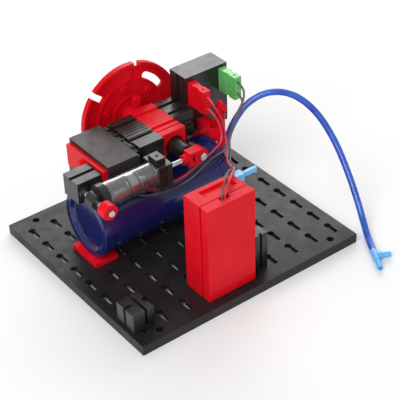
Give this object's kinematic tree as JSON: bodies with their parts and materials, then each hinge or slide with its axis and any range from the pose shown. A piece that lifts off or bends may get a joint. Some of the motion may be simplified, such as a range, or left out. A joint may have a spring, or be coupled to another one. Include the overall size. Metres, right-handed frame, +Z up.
{
  "type": "air pressure regulator",
  "caption": "Motor-driven crank compressor with clear swinging cylinder, translucent reservoir, pressure cut-off switch and battery box on a slotted base plate.",
  "frame": {"origin": "centre of the base plate's underside", "axes": "+X along the reservoir towards the hose outlet, +Y towards the flywheel, +Z up from the base plate"},
  "size_m": [0.17, 0.1636, 0.0893],
  "materials": {
    "dark_plastic": "satin",
    "black_plastic": "satin",
    "grey_black_plastic": "satin",
    "red_plastic": "glossy",
    "green_plastic": "glossy",
    "pale_blue_plastic": "glossy",
    "tank_blue": "glossy",
    "clear_plastic": "glossy",
    "steel": "polished",
    "brass": "polished",
    "rubber": "matte",
    "red_wire": "satin",
    "grey_wire": "satin",
    "blue_hose": "satin"
  },
  "bodies": {
    "base": {"base_plate": "dark_plastic", "tank_shell": "tank_blue", "tank_cap_left": "tank_blue", "tank_cap_right": "tank_blue", "tank_outlet_elbow": "black_plastic", "cradle_left": "red_plastic", "cradle_right": "red_plastic", "column_left": "black_plastic", "column_middle": "black_plastic", "column_right": "red_plastic", "motor_rear_housing": "grey_black_plastic", "motor_front_housing": "black_plastic", "motor_end_plate": "red_plastic", "motor_can": "steel", "gearbox_housing": "red_plastic", "bearing_frame": "red_plastic", "axle_bushes": "brass", "link_block": "black_plastic", "pivot_axle": "steel", "pivot_block": "black_plastic", "pivot_collar": "red_plastic", "control_box_shell": "black_plastic", "control_box_base": "black_plastic", "diaphragm": "rubber", "range_spring": "steel", "spring_seat": "black_plastic", "contact_blades": "brass", "plugs_red": "red_plastic", "plugs_green": "green_plastic", "plug_pins": "brass", "cable_holder": "red_plastic", "battery_tray": "red_plastic", "battery_cell": "grey_black_plastic", "battery_stop": "black_plastic", "lead_plug": "pale_blue_plastic", "lead_red_battery": "red_wire", "lead_grey_battery": "grey_wire", "lead_red_motor": "red_wire", "lead_grey_motor": "grey_wire", "delivery_hose": "blue_hose", "hose_tee": "pale_blue_plastic"},
    "crank": {"crank_axle": "steel", "crank_hub": "black_plastic", "crank_arm": "black_plastic", "crown_wheel": "black_plastic", "flywheel_disc": "red_plastic", "flywheel_hub": "red_plastic", "flywheel_nut": "red_plastic"},
    "motor_rotor": {"motor_armature": "steel", "drive_pinion": "brass"},
    "cylinder": {"cylinder_tube": "clear_plastic", "cylinder_rear_cap": "black_plastic", "cylinder_front_cap": "black_plastic"},
    "rod": {"piston": "steel", "piston_seals": "rubber", "piston_rod": "steel", "rod_clip": "red_plastic", "crank_pin": "steel"},
    "plunger": {"pressure_plunger": "black_plastic"},
    "lid": {"battery_lid": "red_plastic"}
  },
  "joints": [
    {"name": "crank_spin", "type": "hinge", "parent": "base", "child": "crank", "pos_m": [0.006, 0.03, 0.0565], "axis": [0, 1, 0], "continuous": true},
    {"name": "motor_spin", "type": "hinge", "parent": "base", "child": "motor_rotor", "pos_m": [-0.02, 0.02475, 0.0565], "axis": [1, 0, 0], "continuous": true},
    {"name": "cylinder_swing", "type": "hinge", "parent": "base", "child": "cylinder", "pos_m": [-0.058, -0.0045, 0.0565], "axis": [0, 1, 0], "range_deg": [-4.1, 4.1]},
    {"name": "rod_slide", "type": "slide", "parent": "cylinder", "child": "rod", "axis": [1, 0, 0], "range_m": [-0.01, 0]},
    {"name": "plunger_slide", "type": "slide", "parent": "base", "child": "plunger", "axis": [0, 0, 1], "range_m": [0, 0.0015], "stiffness_N_per_m": 300, "springref_m": -0.002, "deforming": ["range_spring"]},
    {"name": "lid_slide", "type": "slide", "parent": "base", "child": "lid", "axis": [0, 0, 1], "range_m": [0, 0.05]}
  ],
  "couplings": [
    {"joint": "motor_spin", "follows": "crank_spin", "ratio": 3}
  ]
}
